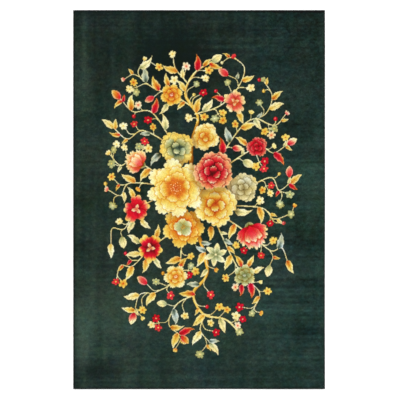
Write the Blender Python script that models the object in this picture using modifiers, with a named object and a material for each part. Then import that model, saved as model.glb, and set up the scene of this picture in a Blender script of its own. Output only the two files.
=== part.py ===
"""A hand-knotted wool pile rug, lying flat, with an overcast edge on its four sides.

Metres, +Z up. The origin is the middle of the underside. X runs across the rug and Y along it,
so +Y is the far end. The field is one slab: a cotton foundation with the wool pile standing on it,
which rounds over along the rim. Each edge is a thick overcast cord that lies beside the slab.
"""

import bpy

# Driving dimensions of the whole rug
RUG_WIDTH = 1.830
RUG_LENGTH = 2.755
FOUNDATION_THICKNESS = 0.0035
PILE_HEIGHT = 0.0100

# The overcast cord along each edge
EDGE_WIDTH = 0.0075
EDGE_HEIGHT = 0.0070
EDGE_ROUNDING = 0.0026
EDGE_STEPS = 4

# How the pile rounds over where it ends
RIM_ROUNDING = 0.0065
RIM_STEPS = 5
CORNER_ROUNDING = 0.0040

# Clear space between two pieces that lie against each other
SEAM_GAP = 0.0003

FIELD_INSET = EDGE_WIDTH + SEAM_GAP
FIELD_WIDTH = RUG_WIDTH - 2 * FIELD_INSET
FIELD_LENGTH = RUG_LENGTH - 2 * FIELD_INSET
FIELD_THICKNESS = FOUNDATION_THICKNESS + PILE_HEIGHT

PILE_GREEN = (0.024, 0.040, 0.030, 1.0)
EDGE_GREEN = (0.018, 0.030, 0.023, 1.0)


def clear_scene():
    """Start from an empty scene."""
    for stale in list(bpy.data.objects):
        bpy.data.objects.remove(stale, do_unlink=True)


def make_collection(name):
    """A collection of the given name, linked to the scene."""
    collection = bpy.data.collections.new(name)
    bpy.context.scene.collection.children.link(collection)
    return collection


def wool(name, colour, roughness):
    """A plain wool finish."""
    material = bpy.data.materials.new(name)
    material.use_nodes = True
    shader = material.node_tree.nodes["Principled BSDF"]
    shader.inputs["Base Color"].default_value = colour
    shader.inputs["Roughness"].default_value = roughness
    shader.inputs["Metallic"].default_value = 0.0
    return material


def box(name, size, centre, collection, material):
    """A block of the given size, with its scale applied."""
    bpy.ops.mesh.primitive_cube_add(size=1.0, location=centre)
    block = bpy.context.object
    block.name = name
    block.data.name = name
    block.scale = size
    bpy.ops.object.transform_apply(location=False, rotation=False, scale=True)
    for owner in list(block.users_collection):
        owner.objects.unlink(block)
    collection.objects.link(block)
    block.data.materials.append(material)
    return block


def weigh_edges(block, chosen, weight):
    """Give the edges that the test picks a bevel weight."""
    mesh = block.data
    layer = mesh.attributes.get("bevel_weight_edge")
    if layer is None:
        layer = mesh.attributes.new("bevel_weight_edge", "FLOAT", "EDGE")
    for edge in mesh.edges:
        ends = [mesh.vertices[index].co for index in edge.vertices]
        if chosen(*ends):
            layer.data[edge.index].value = weight


def round_edges(block, width, steps, limit="WEIGHT"):
    """Round the weighted edges, or every sharp edge where the limit is ANGLE."""
    bevel = block.modifiers.new("rounding", "BEVEL")
    bevel.width = width
    bevel.segments = steps
    bevel.limit_method = limit
    bevel.harden_normals = False


def is_top_edge(start, end):
    """An edge of the pile's face."""
    return start.z > 0 and end.z > 0


def is_upright(start, end):
    """An edge at a corner of the rug, from the underside to the pile's face."""
    return abs(start.z - end.z) > FIELD_THICKNESS / 2


def add_field(collection):
    """The knotted field: foundation and pile as one slab, rounded over along its rim."""
    finish = wool("pile_wool", PILE_GREEN, 0.95)
    size = (FIELD_WIDTH, FIELD_LENGTH, FIELD_THICKNESS)
    field = box("rug", size, (0.0, 0.0, FIELD_THICKNESS / 2), collection, finish)
    weigh_edges(field, is_top_edge, 1.0)
    weigh_edges(field, is_upright, CORNER_ROUNDING / RIM_ROUNDING)
    round_edges(field, RIM_ROUNDING, RIM_STEPS)
    field.data.shade_smooth()
    field.data.set_sharp_from_angle(angle=0.6)
    return field


def add_edge(name, size_x, size_y, centre_x, centre_y, collection, finish):
    """One overcast cord, flat underneath and on top, with rounded long edges."""
    size = (size_x, size_y, EDGE_HEIGHT)
    cord = box(name, size, (centre_x, centre_y, EDGE_HEIGHT / 2), collection, finish)
    round_edges(cord, EDGE_ROUNDING, EDGE_STEPS, limit="ANGLE")
    cord.data.shade_smooth()
    return cord


def add_edges(collection):
    """The four overcast cords: the sides run full length, the ends fit between them."""
    finish = wool("edge_wool", EDGE_GREEN, 0.85)
    side_x = (RUG_WIDTH - EDGE_WIDTH) / 2
    end_y = (RUG_LENGTH - EDGE_WIDTH) / 2
    for name, x in (("edge_left", -side_x), ("edge_right", side_x)):
        add_edge(name, EDGE_WIDTH, RUG_LENGTH, x, 0.0, collection, finish)
    for name, y in (("edge_near", -end_y), ("edge_far", end_y)):
        add_edge(name, FIELD_WIDTH, EDGE_WIDTH, 0.0, y, collection, finish)


def main():
    clear_scene()
    rug = make_collection("chinese_art_deco_rug")
    add_field(rug)
    add_edges(rug)


main()
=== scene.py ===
"""The looks of a hand-knotted wool rug: pile with a floral spray, knotted back, rim and overcast edge.

Metres, +Z up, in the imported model's frame. Stems, leaves and blooms are laid in named yarns on a chart with
one colour for each knot, as a rug designer draws them, and each knot becomes one face of the pile.
"""

import math

import bpy
import numpy as np
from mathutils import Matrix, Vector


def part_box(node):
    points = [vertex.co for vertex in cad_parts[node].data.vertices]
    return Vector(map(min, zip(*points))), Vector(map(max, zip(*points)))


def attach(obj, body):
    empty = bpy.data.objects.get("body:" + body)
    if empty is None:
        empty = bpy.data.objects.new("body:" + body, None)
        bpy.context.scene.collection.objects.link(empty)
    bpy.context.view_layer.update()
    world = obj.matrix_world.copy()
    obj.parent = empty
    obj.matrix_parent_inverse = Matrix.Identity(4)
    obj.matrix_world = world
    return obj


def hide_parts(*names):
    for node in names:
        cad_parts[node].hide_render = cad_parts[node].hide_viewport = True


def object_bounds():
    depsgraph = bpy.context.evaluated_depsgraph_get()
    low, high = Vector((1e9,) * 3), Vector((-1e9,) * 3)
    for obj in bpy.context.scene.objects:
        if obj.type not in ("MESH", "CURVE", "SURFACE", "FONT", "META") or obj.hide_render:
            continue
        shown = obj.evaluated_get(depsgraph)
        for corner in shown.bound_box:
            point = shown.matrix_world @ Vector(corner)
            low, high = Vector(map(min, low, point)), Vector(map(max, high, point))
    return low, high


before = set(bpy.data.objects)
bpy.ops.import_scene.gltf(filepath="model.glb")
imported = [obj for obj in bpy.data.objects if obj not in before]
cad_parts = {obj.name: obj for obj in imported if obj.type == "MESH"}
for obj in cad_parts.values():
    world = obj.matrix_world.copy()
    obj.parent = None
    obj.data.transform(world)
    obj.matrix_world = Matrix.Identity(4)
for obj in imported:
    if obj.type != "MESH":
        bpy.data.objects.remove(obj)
CAD_LOW, CAD_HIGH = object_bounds()
FIELD_LOW, FIELD_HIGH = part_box("rug")
FIELD_WIDTH = FIELD_HIGH.x - FIELD_LOW.x
FIELD_LENGTH = FIELD_HIGH.y - FIELD_LOW.y
PILE_TOP = FIELD_HIGH.z

# The knots of the field
KNOTS_ACROSS, KNOTS_ALONG = 480, 720
PITCH_X = FIELD_WIDTH / KNOTS_ACROSS
PITCH_Y = FIELD_LENGTH / KNOTS_ALONG

# The photograph's frame: the rug's width in it, and where the rug's middle lies, in pixels
PHOTO_PIXELS = 400
PHOTO_RUG_WIDTH = 252.1
PHOTO_MIDDLE = (199.1, 199.6)

TURN = 2 * math.pi
GOLDEN_TURN = math.pi * (3 - math.sqrt(5))


# ---- yarns and chart

# Each yarn's red, green and blue, from 0 to 255, as they are to show on the screen
YARN = {
    "night": (22, 32, 30), "fir": (37, 51, 45), "lichen": (57, 76, 64), "thyme": (78, 102, 84),
    "teal": (35, 56, 51), "umber": (34, 26, 12), "milk": (252, 245, 206), "cream": (251, 237, 178),
    "straw": (249, 231, 156), "butter": (246, 217, 110), "gold": (238, 191, 76), "amber": (229, 158, 50),
    "orange": (220, 122, 38), "rust": (202, 80, 34), "peach": (247, 186, 126), "salmon": (236, 134, 96),
    "coral": (228, 82, 74), "red": (220, 28, 46), "crimson": (182, 10, 36), "wine": (112, 14, 28),
    "celadon": (200, 200, 138), "sage": (162, 166, 106), "moss": (118, 126, 76), "bottle": (58, 74, 56),
    "stone": (216, 206, 156), "taupe": (168, 150, 98), "ice": (192, 200, 172),
}
YARN = {name: np.array(value, float) for name, value in YARN.items()}
BRIGHTEST = 252.0

# What the shadow beside a petal leaves of its neighbour's red, green and blue: near it, and further out
SHADOWS = {
    "warm": ((0.95, 0.85, 0.66), (0.98, 0.93, 0.82)),
    "cool": ((0.84, 0.83, 0.78), (0.93, 0.92, 0.89)),
    "red": ((0.80, 0.62, 0.62), (0.92, 0.82, 0.82)),
}


def row(names):
    """The colours of a row of yarns, from their names."""
    return [YARN[name] for name in names.split()]


def mixed(yarns, t):
    """The colours at t, from 0 to 1, along a row of blended yarns."""
    places = np.linspace(0, 1, len(yarns))
    return np.stack([np.interp(t, places, channel) for channel in np.transpose(yarns)], -1)


def toward(x, y, heading, reach):
    """The point that lies reach away from x, y."""
    return x + reach * math.cos(heading), y + reach * math.sin(heading)


class Chart:
    """One colour for each knot: rows from the near end, columns from the left."""

    def __init__(self, seed):
        self.x = FIELD_LOW.x + (np.arange(KNOTS_ACROSS) + 0.5) * PITCH_X
        self.y = FIELD_LOW.y + (np.arange(KNOTS_ALONG) + 0.5) * PITCH_Y
        self.colour = np.zeros((KNOTS_ALONG, KNOTS_ACROSS, 3))
        self.motif = np.zeros((KNOTS_ALONG, KNOTS_ACROSS), int)
        self.current = 0
        self.rng = np.random.default_rng(seed)

    def begin(self):
        """What is laid from here on is a new motif."""
        self.current += 1

    def around(self, x, y, heading, reach):
        """The knots near a point, and how far each lies along and across a heading."""
        left, right = np.searchsorted(self.x, (x - reach, x + reach))
        near, far = np.searchsorted(self.y, (y - reach, y + reach))
        dx = self.x[left:right][None, :] - x
        dy = self.y[near:far][:, None] - y
        c, s = math.cos(heading), math.sin(heading)
        return (slice(near, far), slice(left, right)), dx * c + dy * s, dy * c - dx * s

    def lay(self, place, inside, colour):
        """Knots the colour in."""
        part = self.colour[place]
        part[inside] = colour[inside] if np.ndim(colour) == 3 else colour
        self.motif[place][inside] = self.current

    def shade(self, place, inside, share):
        """Darkens knots of the present motif."""
        inside = inside & (self.motif[place] == self.current)
        self.colour[place][inside] *= np.array(share)

    def shade_below(self, x, y, radius, share):
        """Darkens what a new bloom will lie on, less and less past its rim."""
        place, u, v = self.around(x, y, 0.0, 1.25 * radius)
        depth = np.clip((1.14 - np.hypot(u, v) / radius) / 0.20, 0, 1) * (self.motif[place] > 0)
        self.colour[place] *= 1 - depth[..., None] * (1 - np.array(share))


# ---- stems, leaves and small blossoms

STEM_STEP = 0.002
STEM_YARNS = row("straw cream")
STEM_SHADE = np.array((0.42, 0.60, 0.72))
LIT_SIDE = (-0.9, 0.45)
BRANCH_KNOBS = 0.10


def smooth_line(points):
    """A smooth curve through the points, with its headings."""
    p = np.array(points, float)
    p = np.vstack([2 * p[0] - p[1], p, 2 * p[-1] - p[-2]])
    runs = []
    for a, b, c, d in zip(p, p[1:], p[2:], p[3:]):
        t = np.linspace(0, 1, max(2, int(np.linalg.norm(c - b) / STEM_STEP)), endpoint=False)[:, None]
        bend = (2 * a - 5 * b + 4 * c - d) * t**2 + (3 * b - a - 3 * c + d) * t**3
        runs.append(0.5 * (2 * b + (c - a) * t + bend))
    line = np.vstack(runs + [p[-2:-1]])
    run = np.gradient(line, axis=0)
    return line, np.arctan2(run[:, 1], run[:, 0])


def lay_stem(chart, points, root, tip, yarns=STEM_YARNS, knobs=0.0):
    """A stem along the points, root and tip metres wide at its ends, and gnarled where knobs is over 0."""
    line, heading = smooth_line(points)
    phase = chart.rng.uniform(0, TURN)
    for i, (x, y) in enumerate(line):
        t = i / (len(line) - 1)
        half = (root + (tip - root) * t) / 2
        half *= 1 + knobs * (math.sin(0.055 * i + phase) + 0.6 * math.sin(0.16 * i))
        place, u, v = chart.around(x, y, heading[i], half + PITCH_X)
        lit = LIT_SIDE[1] * math.cos(heading[i]) - LIT_SIDE[0] * math.sin(heading[i])
        across = np.clip(lit * v / half, -1, 1)[..., None]
        light = 1 + 0.10 * across - STEM_SHADE * np.clip(-across - 0.25, 0, 1)
        chart.lay(place, np.hypot(u, v) < half, np.minimum(mixed(yarns, t) * light, BRIGHTEST))
    return line, heading


def swell(along, rise, fall):
    """How wide a leaf is along its length: 1 at its widest, and 0 at both ends."""
    peak = rise / (rise + fall)
    return (along / peak) ** rise * ((1 - along) / (1 - peak)) ** fall


def lay_leaf(chart, x, y, heading, length, width, yarns, bend=0.0, teeth=0.0, hook=0.0):
    """A pointed petal from its root at x, y, or a ribbed leaf with that many teeth a side."""
    place, u, v = chart.around(x, y, heading, length * 1.2)
    t = u / length
    along = np.clip(t, 0, 1)
    off_rib = v - length * (bend * t * t + hook * np.maximum(0, t - 0.62) ** 2)
    if teeth:
        notch = (teeth * along + 0.35 * (off_rib > 0)) % 1
        half = 0.5 * width * swell(along, 0.70, 1.28) * (0.88 + 0.30 * np.minimum(notch, 2.5 * (1 - notch)))
    else:
        half = 0.5 * width * swell(along, 0.75, 0.85)
    across = off_rib / np.maximum(half, 1e-5)
    if teeth:
        colour = mixed(yarns, 1.05 * t - 0.12 + 0.42 * np.abs(across) + 0.12 * across)
        colour[(np.abs(off_rib) < 0.55 * PITCH_X) & (t < 0.8)] *= 0.84
        colour[np.sin(TURN * (3.5 * t - 0.7 * np.abs(across))) > 0.6] *= 0.94
    else:
        colour = mixed(yarns, t + 0.20 * across - 0.05)
    rim = np.abs(across) > 0.68
    colour[rim] = 0.58 * colour[rim] + 0.42 * YARN["milk"]
    chart.lay(place, (t > 0) & (t < 1) & (np.abs(across) < 1), colour)


def faded(root, tip, t):
    """The root's colour at 0, fading to the tip's at 1."""
    t = np.clip(t, 0, 1)[..., None]
    return root * (1 - t) + tip * t


def lay_dot(chart, x, y, radius, colour):
    """A round dot."""
    place, u, v = chart.around(x, y, 0.0, 2 * radius)
    chart.lay(place, np.hypot(u, v) < radius, colour)


def lay_blossom(chart, x, y, radius, turn, yarns, petals, notch):
    """A small round-petalled blossom in three yarns: petal tip, petal root and heart."""
    tip, root, heart = yarns
    place, u, v = chart.around(x, y, turn, radius * 1.2)
    angle = np.arctan2(v, u)
    petal = np.round(angle * petals / TURN)
    off = angle - petal * TURN / petals
    r = np.hypot(u, v) / (1 + 0.09 * np.sin(2.3 * (petal % petals) + 9 * turn))
    along, across = r * np.cos(off), r * np.sin(off)
    inside = np.hypot((along / radius - 0.60) / 0.40, across / radius / (1.85 / petals)) < 1
    if notch:
        inside &= (np.abs(across) > notch * radius) | (along < 0.84 * radius)
    inside &= np.abs(across) < 1.5 * (1.06 * radius - along)
    inside |= r < 0.34 * radius
    colour = faded(root, tip, (r / radius - 0.2) / 0.75)
    colour[np.abs(across) > 0.26 * radius] *= 0.93
    colour[r < 0.20 * radius] = heart
    chart.lay(place, inside, colour)


def lay_bud(chart, x, y, heading, size, yarns, lobes):
    """A half-open bud: a few round lobes side by side."""
    tip, root = yarns
    for k in range(lobes):
        lean = heading + 0.62 * (k - (lobes - 1) / 2)
        place, u, v = chart.around(*toward(x, y, lean, 0.55 * size), lean, size)
        lobe = np.hypot(u / 0.48, v / 0.33) < size
        chart.lay(place, lobe, faded(root, tip, u / (0.9 * size) + 0.5))


def lay_berry(chart, x, y, radius, yarns):
    """A round berry with its lit spot."""
    (yarn,) = yarns
    place, u, v = chart.around(x, y, 0.0, radius * 1.3)
    chart.lay(place, np.hypot(u, v) < radius, yarn * (1 - 0.25 * (u > 0.3 * radius)[..., None]))
    spot = 0.3 * radius
    lay_dot(chart, x - spot, y + spot, spot, 0.5 * (yarn + YARN["milk"]))


def lay_closed_bud(chart, x, y, heading, length, yarns):
    """A tall closed bud, with the fold of one petal over the other."""
    lay_leaf(chart, x, y, heading, length, length * 0.62, yarns)
    place, u, v = chart.around(x, y, heading, length)
    t = np.clip(u / length, 0, 1)
    fold = np.abs(v - 0.10 * length * np.sin(math.pi * t)) < 0.5 * PITCH_X
    chart.shade(place, fold & (t > 0.1) & (t < 0.85), (0.85, 0.85, 0.85))


# ---- petals and blooms

def lay_petal(chart, x, y, heading, length, width, yarns,
              frill=0.13, lobes=6, rim="milk", shadow="warm", light=1.0):
    """A broad streaked petal from its root at x, y, with a frilled pale rim."""
    place, u, v = chart.around(x, y, heading, length * 1.3 + 0.01)
    half_length, half_width = 0.56 * length, 0.5 * width
    du = (u - length) / half_length + 1
    dv = v / half_width / np.clip(1 - 0.42 * np.clip(-du, 0, 1), 0.3, 1)
    phase, warmth = chart.rng.uniform(0, TURN), chart.rng.uniform(-0.08, 0.08)
    angle = np.arctan2(dv, du)
    waves = np.abs(np.sin(0.5 * lobes * angle + phase)) ** 0.8 - 0.55
    spread = np.hypot(du, dv) / (1 + frill * waves * np.clip(0.5 + 0.9 * np.cos(angle), 0, 1))
    knot = PITCH_X / (0.5 * (half_length + half_width))
    near, further = SHADOWS[shadow]
    chart.shade(place, (spread >= 1) & (spread < 1 + 3.0 * knot), further)
    chart.shade(place, (spread >= 1) & (spread < 1 + 1.3 * knot), near)
    t = np.clip((u / length - 0.16) / 0.84, 0, 1)
    fan = np.arctan2(v, u + 0.25 * length)
    streaks = 0.6 * np.sin(17 * fan + 3 * phase) + 0.4 * np.sin(31 * fan + 5 * phase)
    colour = mixed(yarns, t + 0.08 * streaks * (0.4 + t) + warmth) * light
    pale = 0.62 * np.clip((spread - 0.86) / 0.14, 0, 1) * np.clip(0.35 + np.cos(angle), 0, 1)
    colour += (YARN[rim] - colour) * pale[..., None]
    chart.lay(place, spread < 1, np.minimum(colour, BRIGHTEST))


def lay_disc(chart, x, y, radius, yarns, waves=0, depth=0.0):
    """A round heart, waved along its rim."""
    place, u, v = chart.around(x, y, 0.0, radius * 1.3)
    rim = radius * (1 + depth * (np.abs(np.cos(0.5 * waves * np.arctan2(v, u))) - 0.6))
    chart.lay(place, np.hypot(u, v) < rim, mixed(yarns, np.hypot(u, v) / rim))


def lay_stamens(chart, x, y, reach, count, yarn, size=0.003):
    """A ring of dots round a heart."""
    for k in range(count):
        r = reach * (0.75 + 0.25 * math.sin(2.4 * k))
        lay_dot(chart, *toward(x, y, TURN * k / count, r), size, YARN[yarn])


def full_bloom(chart, x, y, radius, turn, outer, inner, petals, rim="milk", shadow="warm"):
    """A full bloom: petals from the rim inwards, each turned from the last by the golden angle."""
    lay_disc(chart, x, y, 0.3 * radius, inner[:2])
    for k in range(petals):
        t = k / (petals - 1)
        heading = turn + k * GOLDEN_TURN
        size = radius * (0.64 - 0.38 * t)
        root = (radius - size) * (1 - t) ** 0.75 - 0.28 * size
        lay_petal(chart, *toward(x, y, heading, root), heading, 1.15 * size, size * (1.50 - 0.3 * t),
                  outer if t < 0.45 else inner, frill=0.20, lobes=10 - k % 2, rim=rim, shadow=shadow,
                  light=1 - 0.06 * t)


def open_bloom(chart, x, y, radius, turn, rings):
    """An open bloom in rings of petals. A ring is (petals, root, length, width, yarns, rim)."""
    for ring, (petals, root, length, width, yarns, rim) in enumerate(rings):
        for k in [*range(0, petals, 2), *range(1, petals, 2)]:
            heading = turn + TURN * (k + 0.5 * (ring % 2)) / petals + 0.09 * math.sin(5 * k + ring)
            size = radius * (1 + 0.09 * math.sin(3.1 * k + 2 * ring))
            broad = width * size * (1 + 0.12 * math.sin(4.3 * k + ring))
            lay_petal(chart, *toward(x, y, heading, root * radius), heading, length * size, broad,
                      yarns, frill=0.21 - 0.02 * ring, lobes=11 - ring, rim=rim)


def sunny_bloom(chart, x, y, radius, turn):
    """Yellow round a glowing orange heart with many stamens."""
    open_bloom(chart, x, y, radius, turn, (
        (8, 0.38, 0.64, 0.57, row("gold butter straw cream"), "milk"),
        (7, 0.22, 0.56, 0.58, row("orange gold butter cream"), "milk"),
        (6, 0.10, 0.42, 0.46, row("rust orange gold straw"), "cream"),
    ))
    lay_disc(chart, x, y, 0.24 * radius, row("rust orange"), 9, 0.14)
    lay_stamens(chart, x, y, 0.20 * radius, 15, "cream")
    lay_stamens(chart, x, y, 0.11 * radius, 8, "straw")


def amber_bloom(chart, x, y, radius, turn):
    """Orange round a pale green heart."""
    open_bloom(chart, x, y, radius, turn, (
        (7, 0.34, 0.66, 0.66, row("orange amber gold butter"), "cream"),
        (7, 0.18, 0.52, 0.50, row("rust orange amber butter"), "cream"),
        (5, 0.04, 0.40, 0.42, row("sage celadon cream"), "milk"),
    ))
    lay_stamens(chart, x, y, 0.10 * radius, 6, "amber", size=0.004)


OPEN_BLOOMS = {"sunny": sunny_bloom, "amber": amber_bloom}

# For each full bloom: outer petals' yarns, inner petals' yarns, petals, rim, shadow
FULL_BLOOMS = {
    "flame": ("crimson red salmon peach", "wine red coral cream", 17, "cream", "red"),
    "honey": ("amber gold butter straw", "rust amber butter cream", 16, "milk", "warm"),
    "willow": ("sage butter butter gold", "bottle sage celadon straw", 15, "straw", "cool"),
    "pearl": ("taupe stone stone cream", "taupe stone milk", 15, "milk", "cool"),
    "butter": ("gold butter straw cream", "orange gold straw", 13, "milk", "warm"),
}
BLOOM_SHADOW = (0.80, 0.72, 0.62)


def lay_bloom(chart, x, y, radius, turn, kind):
    """One of the large blooms, over its own shadow."""
    chart.shade_below(x, y, radius, BLOOM_SHADOW)
    chart.begin()
    if kind in OPEN_BLOOMS:
        OPEN_BLOOMS[kind](chart, x, y, radius, turn)
    else:
        outer, inner, *rest = FULL_BLOOMS[kind]
        full_bloom(chart, x, y, radius, turn, row(outer), row(inner), *rest)


def lily(chart, x, y, radius, turn, yarns):
    """Six pointed petals, each with a fold along its middle."""
    for k in (0, 2, 4, 1, 3, 5):
        heading = turn + TURN * k / 6
        root = toward(x, y, heading, 0.06 * radius)
        lay_leaf(chart, *root, heading, 0.95 * radius, 0.52 * radius, yarns, bend=0.18)
        place, u, v = chart.around(x, y, heading, radius)
        fold = np.abs(v - 0.18 * u * u / radius) < 0.5 * PITCH_X
        chart.shade(place, fold & (u > 0.2 * radius) & (u < 0.7 * radius), (0.8, 0.8, 0.8))
    lay_disc(chart, x, y, 0.10 * radius, yarns[-1:] * 2)


def flared(chart, x, y, radius, turn, yarns):
    """Five broad ragged petals with deep-coloured throats and pale rims, and a cream heart."""
    for k in (0, 2, 4, 1, 3):
        heading = turn + TURN * k / 5 + 0.14 * math.sin(4 * k)
        length = radius * (0.90 + 0.10 * math.sin(2.7 * k))
        lay_petal(chart, *toward(x, y, heading, 0.08 * radius), heading, length, 0.86 * radius, yarns,
                  frill=0.34, lobes=5, rim="straw", shadow="red")
    for k in range(3):
        heading = turn + 0.9 + TURN * k / 3
        lay_leaf(chart, x, y, heading, 0.38 * radius, 0.24 * radius, row("rust peach cream"))


def frilled(chart, x, y, radius, turn, yarns):
    """A frilled bloom seen from the side, on its green cup."""
    root = toward(x, y, turn, -0.55 * radius)
    cup = toward(*root, turn, -0.42 * radius)
    for lean in (-0.5, 0.5, 0.0):
        lay_leaf(chart, *cup, turn + lean, 0.8 * radius, 0.34 * radius, row("moss sage straw"))
    for lean in (-1.15, 1.15, -0.75, 0.75, -0.35, 0.35, 0.0):
        length = (1.52 - 0.30 * abs(lean)) * radius
        lay_petal(chart, *root, turn + lean, length, 0.72 * radius, yarns, frill=0.22, lobes=8, rim="cream")
    for lean in (-0.5, 0.5, 0.0):
        lay_petal(chart, *root, turn + lean, radius, 0.56 * radius, yarns[1:], frill=0.18)


def dish(chart, x, y, radius, turn, yarns):
    """A shallow open flower with dots in its heart."""
    open_bloom(chart, x, y, radius, turn, (
        (6, 0.28, 0.72, 0.78, yarns, "milk"),
        (5, 0.10, 0.46, 0.50, yarns[:3], "cream"),
    ))
    lay_disc(chart, x, y, 0.18 * radius, yarns[:1] * 2)
    lay_stamens(chart, x, y, 0.13 * radius, 6, "milk")


def rose(chart, x, y, radius, turn, yarns):
    """A small full flower."""
    full_bloom(chart, x, y, radius, turn, yarns, yarns[:3], 13, rim="cream", shadow="red")


# ---- the spray

# Blooms from the lowest to the topmost: x, y, radius, turn, kind
BLOOMS = (
    (0.315, 0.085, 0.125, 0.60, "pearl"),
    (0.045, 0.450, 0.116, 1.20, "butter"),
    (-0.160, 0.365, 0.145, 2.20, "willow"),
    (-0.115, -0.200, 0.150, 1.70, "amber"),
    (0.112, -0.045, 0.176, 0.30, "honey"),
    (-0.170, 0.085, 0.208, 0.20, "sunny"),
    (0.105, 0.205, 0.162, 0.90, "flame"),
)

# Smaller flowers: x, y, radius, turn, form, yarns from the root of a petal to its tip
FLOWERS = (
    (-0.455, -0.070, 0.098, 0.40, flared, "crimson red red salmon butter"),
    (0.390, -0.260, 0.105, -1.20, frilled, "crimson red coral cream"),
    (-0.355, -0.350, 0.098, 1.00, flared, "wine crimson red gold butter"),
    (0.120, -0.400, 0.085, 0.20, lily, "moss celadon straw cream"),
    (0.420, 0.380, 0.085, 0.70, rose, "crimson red coral salmon"),
    (-0.170, -0.560, 0.085, 0.10, dish, "orange gold straw cream"),
    (-0.460, 0.280, 0.082, 2.60, frilled, "rust coral peach cream"),
    (0.330, -0.550, 0.078, 0.50, dish, "moss sage celadon straw"),
    (-0.200, 0.760, 0.080, 0.30, dish, "rust amber gold butter"),
    (0.260, 0.710, 0.084, 1.50, flared, "rust coral peach cream"),
)

# Branches: width at the root, width at the tip, points from the root
BRANCHES = (
    (0.028, 0.012, ((-0.06, 0.20), (-0.05, 0.42), (-0.01, 0.60), (-0.10, 0.77), (-0.03, 0.92), (0.09, 1.00))),
    (0.028, 0.011, ((-0.02, -0.20), (0.06, -0.52), (-0.04, -0.68), (0.03, -0.83), (0.19, -0.87),
                    (0.28, -0.95))),
)

# Sprays: width at the root, points from the root
SPRAYS = (
    (0.0106, ((-0.06, 0.68), (-0.19, 0.76), (-0.33, 0.81), (-0.44, 0.91), (-0.40, 1.01))),
    (0.0094, ((-0.08, 0.84), (-0.17, 0.95), (-0.19, 1.04))),
    (0.0106, ((-0.03, 0.62), (0.15, 0.68), (0.28, 0.81), (0.33, 0.95), (0.26, 1.03))),
    (0.0106, ((0.12, 0.26), (0.32, 0.54), (0.48, 0.62), (0.53, 0.75), (0.47, 0.86))),
    (0.0095, ((0.42, 0.59), (0.55, 0.54), (0.63, 0.62))),
    (0.0102, ((0.16, 0.22), (0.42, 0.38), (0.54, 0.34), (0.64, 0.40))),
    (0.0102, ((0.34, 0.08), (0.52, 0.16), (0.58, 0.07), (0.66, 0.12))),
    (0.0102, ((0.14, -0.04), (0.45, -0.06), (0.54, -0.14), (0.65, -0.11))),
    (0.0102, ((0.14, -0.10), (0.38, -0.26), (0.52, -0.37), (0.60, -0.35), (0.64, -0.44))),
    (0.0106, ((0.10, -0.12), (0.25, -0.44), (0.33, -0.56), (0.44, -0.68), (0.39, -0.81))),
    (0.0102, ((-0.03, -0.69), (-0.16, -0.76), (-0.22, -0.90), (-0.13, -0.99))),
    (0.0094, ((0.04, -0.84), (0.01, -0.95), (0.08, -1.04))),
    (0.0106, ((-0.12, -0.26), (-0.16, -0.56), (-0.31, -0.67), (-0.43, -0.69), (-0.47, -0.82))),
    (0.0102, ((-0.14, -0.20), (-0.35, -0.35), (-0.48, -0.48), (-0.57, -0.48), (-0.60, -0.58))),
    (0.0102, ((-0.20, 0.06), (-0.45, -0.07), (-0.54, -0.21), (-0.63, -0.21), (-0.64, -0.32))),
    (0.0094, ((-0.24, 0.10), (-0.50, 0.12), (-0.57, 0.03), (-0.66, 0.07))),
    (0.0102, ((-0.20, 0.12), (-0.46, 0.28), (-0.57, 0.25), (-0.65, 0.33))),
    (0.0102, ((-0.18, 0.38), (-0.40, 0.50), (-0.52, 0.44), (-0.62, 0.52))),
    (0.0102, ((-0.18, 0.40), (-0.34, 0.63), (-0.48, 0.64), (-0.57, 0.73))),
)
SPRAY_TIP = 0.0064
SHOOT_WIDTH = (0.0062, 0.0055)
SPRAY_REACH = (0.71, 1.11)

# Yarns by turns: a leaf's or closed bud's from root to tip, a blossom's tip, root and heart, a bud's tip
# and root, and a berry's one
YARNS_OF = {
    "leaf": (
        "orange gold butter cream", "rust amber butter straw", "orange gold straw", "red orange butter straw",
        "gold butter cream", "red orange gold butter", "sage straw cream", "amber butter straw",
        "moss celadon cream", "rust orange gold", "bottle ice ice", "gold straw cream", "crimson red orange",
        "orange butter cream", "crimson orange butter cream",
    ),
    "blossom": (
        "cream straw gold", "butter gold orange", "cream butter amber", "salmon coral butter",
        "straw butter orange", "red crimson peach", "butter amber rust", "celadon sage butter",
        "cream coral red", "straw gold rust", "coral red butter", "milk peach coral", "sage celadon straw",
        "straw straw sage", "milk red butter",
    ),
    "bud": (
        "straw butter", "red crimson", "cream coral", "butter orange", "coral red", "celadon sage",
        "gold orange", "cream gold",
    ),
    "closed": ("crimson coral cream straw", "red orange butter", "red coral cream", "sage straw cream"),
    "berry": ("red", "coral", "butter", "gold", "cream", "red", "amber"),
}

# How much room each kind of tip needs round its middle, and how large it is: from and to
TIP_ROOM = {
    "leaf": 0.042, "blossom": 0.033, "bunch": 0.056, "bud": 0.026, "berry": 0.016, "closed": 0.041,
}
TIP_SIZE = {
    "blossom": (0.026, 0.033), "bud": (0.026, 0.032), "berry": (0.011, 0.015), "closed": (0.075, 0.095),
}
ALONG_SPRAY = "leaf bunch leaf bud leaf blossom leaf bunch berry leaf blossom closed".split()
IN_GAPS = "blossom bunch leaf blossom bud bunch leaf berry blossom closed".split()

# A bunch's three blossoms: lean from the stem's heading, and reach
BUNCH = ((-1.15, 0.040), (1.15, 0.038), (0.05, 0.058))

# A leaf's width as a share of its length, and the lengths or reaches and the leans that are tried
LEAF_WIDTH = 0.43
LEAF_TRIES = ((0.12, 0.10, 0.08, 0.06), (0.7, 0.95, 0.5, 1.2))
SHOOT_TRIES = ((0.05, 0.065, 0.085, 0.11), (0.55, 0.8, 1.05, 1.3))

# How far a leaf or shoot may lie over what is there already
OVERLAP = 0.012


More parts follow.
